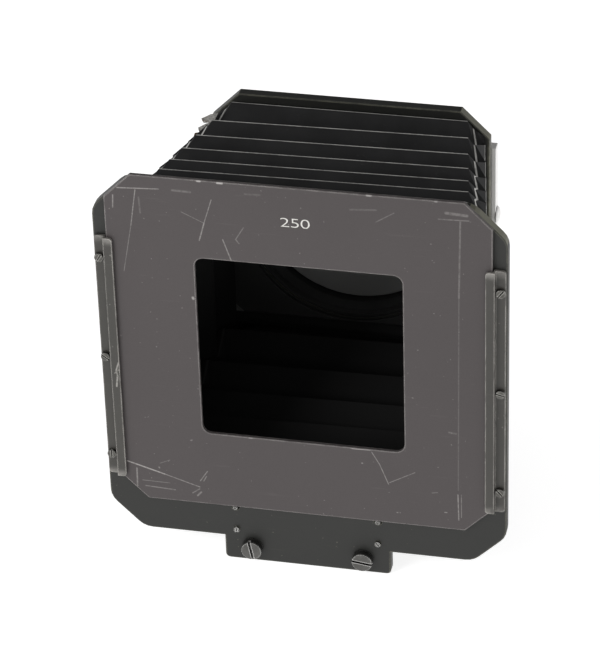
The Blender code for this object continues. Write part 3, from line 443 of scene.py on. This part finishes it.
def paint_cad_nodes():
    """Gives every carried-over CAD node its finish."""
    frame_black = anodised("frame_anodised", FRAME_BLACK, FRAME_FADED, KHAKI, 0.5, chamfer_highlight=0.6)
    rear_black = anodised(
        "rear_anodised",
        FRAME_BLACK,
        FRAME_FADED,
        KHAKI,
        0.5,
        chamfer_highlight=0.5,
        sheltered=33.0 * MM,
        side_highlight=36.2 * MM,
    )
    rail_black = anodised(
        "rail_anodised",
        (0.036, 0.034, 0.0295),
        (0.045, 0.0425, 0.037),
        (0.46, 0.44, 0.41),
        0.42,
        edge_lightening=0.9,
        marks=RAIL_MARKS,
        ends=RAIL_ENDS,
    )
    mask_black = anodised(
        "mask_anodised",
        (0.0525, 0.0440, 0.0445),
        (0.0585, 0.0495, 0.0500),
        (0.42, 0.40, 0.385),
        0.5,
        marks=MASK_SCRATCHES,
        chips=MASK_CHIPS,
    )
    inner_black = anodised(
        "blackened_metal",
        (0.024, 0.024, 0.024),
        (0.03, 0.03, 0.03),
        (0.06, 0.06, 0.06),
        0.5,
        shine=0.25,
        edge_lightening=0.1,
    )
    grey_metal = anodised(
        "grey_metal",
        (0.2, 0.2, 0.196),
        (0.24, 0.24, 0.235),
        (0.3, 0.3, 0.29),
        0.45,
        shine=0.2,
        edge_lightening=0.2,
    )
    # Name, clean metal, dull film, rubbed edges, roughness and, where it isn't 1, how metallic it is
    metals = {
        name: turned_metal(name, *looks)
        for name, *looks in (
            ("screw_steel", (0.12, 0.118, 0.112), (0.06, 0.059, 0.056), (0.75, 0.74, 0.72), 0.34),
            ("rail_screw_steel", (0.12, 0.117, 0.108), (0.055, 0.054, 0.05), (0.45, 0.44, 0.41), 0.38),
            ("rod_steel", (0.62, 0.61, 0.60), (0.4, 0.39, 0.38), (0.8, 0.79, 0.78), 0.22),
            # The chrome's near-white colour, mostly diffuse with little metal, is a painted reflection of
            # the white surroundings.
            ("chrome_with_painted_reflection", (0.92, 0.91, 0.89), (0.84, 0.83, 0.81), (0.96, 0.95, 0.94), 0.25, 0.2),
            ("bush_brass", (0.62, 0.44, 0.17), (0.36, 0.24, 0.09), (0.8, 0.6, 0.28), 0.3),
        )
    }
    paint(frame_black, "front_frame", "rod_bracket", "carriage", "riser")
    paint(rear_black, "rear_frame")
    paint(rail_black, *both("mask_rail"))
    paint(mask_black, "mask_plate")
    paint(inner_black, "front_clamp_ring", "rear_clamp_ring", "lens_collar", *both("rod_stop"))
    paint(grey_metal, "adapter_ring")
    steel = metals["screw_steel"]
    paint(steel, *both("rod_screw", "bracket_screw", "riser_screw", "foot_screw", "mask_stop_pin"))
    for side in ("left", "right"):
        paint(metals["rail_screw_steel"], *[f"rail_screw_{side}_{i}" for i in (1, 2, 3)])
        paint(steel, *[f"mount_bar_screw_{side}_{i}" for i in (1, 2)])
    paint(metals["rod_steel"], *both("guide_rod", "mask_spring"))
    paint(metals["chrome_with_painted_reflection"], *both("mount_bar", "side_dome"), "clamp_knob", "collar_screw")
    paint(metals["bush_brass"], *both("rod_bush"))


# -------------------------------------------------------------------- numerals

NUMERALS = "250"
NUMERALS_CENTRE = (-0.3 * MM, 105.4 * MM)
NUMERALS_SIZE = (7.4 * MM, 2.55 * MM)
NUMERALS_PROUD = 0.025 * MM


def make_numerals():
    """The focal length engraved in the mask and filled with white paint."""
    curve = bpy.data.curves.new("numerals", "FONT")
    curve.body = NUMERALS
    curve.extrude = 0.02
    curve.offset = -0.012
    curve.space_character = 0.94
    text = bpy.data.objects.new("numerals_text", curve)
    bpy.context.scene.collection.objects.link(text)
    bpy.context.view_layer.update()
    evaluated = text.evaluated_get(bpy.context.evaluated_depsgraph_get())
    mesh = bpy.data.meshes.new_from_object(evaluated)
    bpy.data.objects.remove(text)
    points = np.array([v.co for v in mesh.vertices])
    low, high = points.min(axis=0), points.max(axis=0)
    share = (points - (low + high) / 2.0) / (high - low)
    placed = np.empty_like(points)
    placed[:, 0] = NUMERALS_CENTRE[0] + share[:, 0] * NUMERALS_SIZE[0]
    placed[:, 1] = MASK_LOW.y - share[:, 2] * 2.0 * NUMERALS_PROUD
    placed[:, 2] = NUMERALS_CENTRE[1] + share[:, 1] * NUMERALS_SIZE[1]
    mesh.vertices.foreach_set("co", placed.astype(np.float32).ravel())
    mesh.update()
    mesh.materials.clear()
    mesh.materials.append(numeral_paint())
    obj = bpy.data.objects.new("mask_numerals", mesh)
    bpy.context.scene.collection.objects.link(obj)
    return obj


# --------------------------------------------------------------------- bellows

# FOLDS is the number of crests along the top. Each pleat is FOLD_GROWTH times as deep as the one in front of
# it. CREST_FIRST and CREST_LAST are the outer crests' distances from the bellows' two ends, the valleys are
# measured inwards from the crests, and the shifts move the rings to the right of the axis.
FOLDS = 7
FOLD_GROWTH = 1.165
CREST_FIRST = 1.7 * MM
CREST_LAST = 0.4 * MM
CREST_ROUNDING = 0.42 * MM
SHARP_FOLD = math.radians(20.0)
CLOTH = 0.35 * MM
FLAP_CLOTH = 0.3 * MM
FRONT_TOP_VALLEY = 3.2 * MM
REAR_TOP_VALLEY = 6.2 * MM
SIDE_VALLEY = 3.0 * MM
FOLD_SKEW = 1.0 * MM
REAR_CREST_HALF = 35.8 * MM
FRONT_CREST_HALF = 45.0 * MM
REAR_CORNER = 4.6 * MM
FRONT_CORNER = 4.9 * MM
REAR_SHIFT = 0.3 * MM
FRONT_SHIFT = 1.4 * MM


def fold_depths():
    """Depth of the top and bottom crests, front to rear; the pleats widen towards the rear."""
    first = BELLOWS_LOW.y + CREST_FIRST
    last = BELLOWS_HIGH.y - CREST_LAST
    pitches = [FOLD_GROWTH**i for i in range(FOLDS - 1)]
    scale = (last - first) / sum(pitches)
    return [first + scale * sum(pitches[:i]) for i in range(FOLDS)]


def along_depth(depth, front, rear):
    """A size that runs evenly from front to rear."""
    return front + (rear - front) * (depth - BELLOWS_LOW.y) / (BELLOWS_HIGH.y - BELLOWS_LOW.y)


def crest_half(depth):
    return along_depth(depth, FRONT_CREST_HALF, REAR_CREST_HALF)


def corner_size(depth):
    return along_depth(depth, FRONT_CORNER, REAR_CORNER)


def level_points(depth, sides_out):
    """One ring of the folded tube, two points at each corner; sides_out on the side crests' levels."""
    half = crest_half(depth)
    flat = half - corner_size(depth)
    reach = half - 0.5 * corner_size(depth)
    if sides_out:
        valley = along_depth(depth, FRONT_TOP_VALLEY, REAR_TOP_VALLEY)
        corner = [(half, flat), (reach, half - valley)]
    else:
        corner = [(half - SIDE_VALLEY, reach), (flat, half)]
    upper_right = corner
    upper_left = [(-x, z) for x, z in reversed(corner)]
    lower_left = [(-x, -z) for x, z in corner]
    lower_right = [(x, -z) for x, z in reversed(corner)]
    ring = upper_right + upper_left + lower_left + lower_right
    share = along_depth(depth, 0.0, 1.0)
    # The folds run slightly askew, except close to the two ends, which are clamped square.
    skew = FOLD_SKEW * min(1.0, 8.0 * share * (1.0 - share))
    shift = along_depth(depth, FRONT_SHIFT, REAR_SHIFT)
    return [Vector((x + shift, depth + skew * x / half, AXIS_HEIGHT + z)) for x, z in ring]


def bellows_rings():
    depths = fold_depths()
    rings = [(level_points(BELLOWS_LOW.y, True), True)]
    for i, depth in enumerate(depths):
        rings.append((level_points(depth, False), False))
        following = depths[i + 1] if i + 1 < len(depths) else BELLOWS_HIGH.y
        middle = (depth + following) / 2.0 if i + 1 < len(depths) else following
        rings.append((level_points(middle, True), True))
    return rings


def bellows_surface():
    """The folded skin and its crests' edges: top and side crests, and the corners' diagonals."""
    bm = bmesh.new()
    rings = bellows_rings()
    rows = [[bm.verts.new(p) for p in points] for points, _ in rings]
    crests = set()
    levels = [sides_out for _, sides_out in rings]
    for near, far, near_out in zip(rows, rows[1:], levels):
        for i in range(8):
            a, b = near[i], near[(i + 1) % 8]
            d, c = far[i], far[(i + 1) % 8]
            if i % 2:
                bm.faces.new((a, b, c, d))
                continue
            # A corner strip is split from a top crest's end to a side crest's end.
            upper = i in (0, 4)
            top_first = near_out != upper
            if top_first:
                bm.faces.new((a, b, c))
                bm.faces.new((a, c, d))
                crests.add(frozenset((a, c)))
            else:
                bm.faces.new((a, b, d))
                bm.faces.new((b, c, d))
                crests.add(frozenset((b, d)))
    # The last strip lies flat on the rear frame and keeps no lighter diagonals.
    crests = {crest for crest in crests if not crest & set(rows[-1])}
    for row, sides_out in zip(rows, levels):
        for i in range(1, 8, 2):
            across_top = i in (1, 5)
            if across_top != sides_out:
                crests.add(frozenset((row[i], row[(i + 1) % 8])))
    return bm, crests


def make_bellows():
    bm, crests = bellows_surface()
    bmesh.ops.recalc_face_normals(bm, faces=bm.faces)
    crest_edges = [e for e in bm.edges if frozenset(e.verts) in crests]
    segments = [(e.verts[0].co.copy(), e.verts[1].co.copy()) for e in crest_edges]
    rounded = bm.faces.layers.int.new("rounded")
    made = bmesh.ops.bevel(
        bm, geom=crest_edges, offset=CREST_ROUNDING, segments=2, affect="EDGES", profile=0.6
    )
    for face in made["faces"]:
        face[rounded] = 1
    bmesh.ops.triangulate(bm, faces=bm.faces)
    mesh = bpy.data.meshes.new("bellows_skin")
    bm.to_mesh(mesh)
    bm.free()
    obj = bpy.data.objects.new("bellows_skin", mesh)
    bpy.context.scene.collection.objects.link(obj)
    mark_crests(mesh, segments)
    thick = obj.modifiers.new("cloth", "SOLIDIFY")
    thick.thickness = CLOTH
    thick.offset = -1.0
    mesh.materials.append(bellows_cloth())
    mesh.shade_smooth()
    mesh.set_sharp_from_angle(angle=SHARP_FOLD)
    return obj


def mark_crests(mesh, segments):
    """Stores how near each corner of the crests' rounded strips is to its crest, and 0 elsewhere."""
    points = np.array([v.co for v in mesh.vertices])
    nearest = np.full(len(points), 1.0)
    for start, end in segments:
        a = np.array(start)
        along = np.array(end) - a
        share = np.clip((points - a) @ along / (along @ along), 0.0, 1.0)
        nearest = np.minimum(nearest, np.linalg.norm(points - a - share[:, None] * along, axis=1))
    corners = np.empty(len(mesh.loops), dtype=np.int32)
    mesh.loops.foreach_get("vertex_index", corners)
    rounded = np.empty(len(mesh.polygons), dtype=np.int32)
    mesh.attributes["rounded"].data.foreach_get("value", rounded)
    crest = np.clip(1.0 - nearest[corners].reshape(-1, 3) / CREST_ROUNDING, 0.0, 1.0)
    crest[rounded == 0] = 0.0
    attribute = mesh.attributes.new("crest", "FLOAT", "CORNER")
    attribute.data.foreach_set("value", crest.astype(np.float32).ravel())


# Torn flaps at the upper left corner: (x, depth behind the front frame's face, z) in mm
FLAPS = (
    (
        (-33.6, 56.0, 101.6),
        (-35.6, 55.6, 101.2),
        (-37.9, 55.2, 100.0),
        (-37.2, 54.6, 99.0),
        (-34.4, 54.4, 99.6),
    ),
    (
        (-34.4, 55.0, 99.4),
        (-36.6, 54.6, 98.9),
        (-38.5, 54.0, 97.9),
        (-38.2, 53.4, 97.0),
        (-36.2, 53.0, 96.6),
        (-33.8, 54.0, 98.2),
    ),
    (
        (-36.0, 51.5, 98.4),
        (-38.6, 50.5, 98.2),
        (-38.9, 50.0, 97.0),
        (-38.0, 49.5, 96.2),
        (-35.8, 50.0, 97.0),
    ),
    (
        (-36.0, 44.5, 100.8),
        (-38.6, 44.0, 99.0),
        (-39.0, 43.6, 98.0),
        (-36.8, 44.0, 98.4),
    ),
)


def make_flaps():
    """Small torn pieces of cloth that stand out from the upper left corner."""
    bm = bmesh.new()
    for places in FLAPS:
        bm.faces.new([bm.verts.new((x * MM, FRAME_LOW.y + y * MM, z * MM)) for x, y, z in places])
    bmesh.ops.triangulate(bm, faces=bm.faces)
    bmesh.ops.subdivide_edges(bm, edges=bm.edges, cuts=3, use_grid_fill=True, fractal=0.6, seed=4)
    bmesh.ops.recalc_face_normals(bm, faces=bm.faces)
    mesh = bpy.data.meshes.new("frayed_flaps")
    bm.to_mesh(mesh)
    bm.free()
    mesh.materials.append(frayed_backing())
    obj = bpy.data.objects.new("frayed_flaps", mesh)
    bpy.context.scene.collection.objects.link(obj)
    thick = obj.modifiers.new("cloth", "SOLIDIFY")
    thick.thickness = FLAP_CLOTH
    return obj


# ----------------------------------------------------------------------- stage


# Name, width and height in metres, power in watts and place; both point at the hood's axis
SOFTBOXES = (
    ("front_left_softbox", (0.35, 0.35), 2.0, (-0.45, -0.55, 0.38)),
    ("right_softbox", (0.4, 0.7), 1.5, (1.1, 0.1, 0.3)),
)
FLOOR_HALF = 4.0
FLOOR_DROP = 0.1 * MM


def make_floor():
    bm = bmesh.new()
    bmesh.ops.create_grid(bm, x_segments=1, y_segments=1, size=FLOOR_HALF)
    mesh = bpy.data.meshes.new("studio_floor")
    bm.to_mesh(mesh)
    bm.free()
    obj = bpy.data.objects.new("studio_floor", mesh)
    obj.location.z = -FLOOR_DROP
    mesh.materials.append(floor_paper())
    bpy.context.scene.collection.objects.link(obj)


def area_light(name, size, power, place, target):
    light = bpy.data.lights.new(name, "AREA")
    light.shape = "RECTANGLE"
    light.size, light.size_y = size
    light.energy = power
    obj = bpy.data.objects.new(name, light)
    obj.location = place
    obj.rotation_mode = "QUATERNION"
    obj.rotation_quaternion = (Vector(target) - Vector(place)).to_track_quat("-Z", "Y")
    bpy.context.scene.collection.objects.link(obj)


def world_ramp(tree, height, stops):
    ramp = tree.nodes.new("ShaderNodeValToRGB")
    tree.links.new(height, ramp.inputs["Fac"])
    elements = ramp.color_ramp.elements
    for place, level in stops[1:-1]:
        elements.new(place)
    for element, (place, level) in zip(elements, stops):
        element.position = place
        element.color = (level, level, level, 1.0)
    return ramp.outputs["Color"]


def make_world():
    """A white tent: bright round the front and along the horizon, dark above the horizon behind."""
    world = bpy.data.worlds.new("studio")
    world.use_nodes = True
    tree = world.node_tree
    direction = tree.nodes.new("ShaderNodeTexCoord").outputs["Generated"]
    split = tree.nodes.new("ShaderNodeSeparateXYZ")
    tree.links.new(direction, split.inputs[0])
    behind = tree.nodes.new("ShaderNodeMapRange")
    tree.links.new(split.outputs["Y"], behind.inputs["Value"])
    behind.inputs["From Min"].default_value = WORLD_TURN[0]
    behind.inputs["From Max"].default_value = WORLD_TURN[1]
    mix = tree.nodes.new("ShaderNodeMix")
    mix.data_type = "RGBA"
    tree.links.new(behind.outputs["Result"], mix.inputs["Factor"])
    tree.links.new(world_ramp(tree, split.outputs["Z"], FRONT_WORLD), mix.inputs["A"])
    tree.links.new(world_ramp(tree, split.outputs["Z"], REAR_WORLD), mix.inputs["B"])
    tree.links.new(mix.outputs["Result"], tree.nodes["Background"].inputs["Color"])
    bpy.context.scene.world = world


def make_lights():
    for name, size, power, place in SOFTBOXES:
        area_light(name, size, power, place, (0.0, 0.0, AXIS_HEIGHT))
    make_world()
    bpy.context.scene.view_settings.view_transform = "Standard"


def make_camera():
    data = bpy.data.cameras.new("camera")
    data.lens = CAMERA_LENS
    data.sensor_width = CAMERA_SENSOR
    data.clip_start = 0.05
    data.clip_end = 20.0
    camera = bpy.data.objects.new("camera", data)
    bpy.context.scene.collection.objects.link(camera)
    azimuth = math.radians(CAMERA_AZIMUTH)
    elevation = math.radians(CAMERA_ELEVATION)
    flat = math.cos(elevation)
    back = Vector((math.sin(azimuth) * flat, -math.cos(azimuth) * flat, math.sin(elevation)))
    aim = Vector((CAMERA_AIM_SIDE, FRAME_LOW.y, CAMERA_AIM_HEIGHT))
    roll = Matrix.Rotation(math.radians(CAMERA_ROLL), 3, "Z")
    turn = (-back).to_track_quat("-Z", "Y").to_matrix() @ roll
    camera.matrix_world = Matrix.Translation(aim + back * CAMERA_DISTANCE) @ turn.to_4x4()
    bpy.context.scene.camera = camera


paint_cad_nodes()
skin = make_bellows()
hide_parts("bellows")
flaps = make_flaps()
for piece in (skin, flaps):
    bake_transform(piece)
numerals = make_numerals()
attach(numerals, MASK)
make_floor()
make_lights()
make_camera()
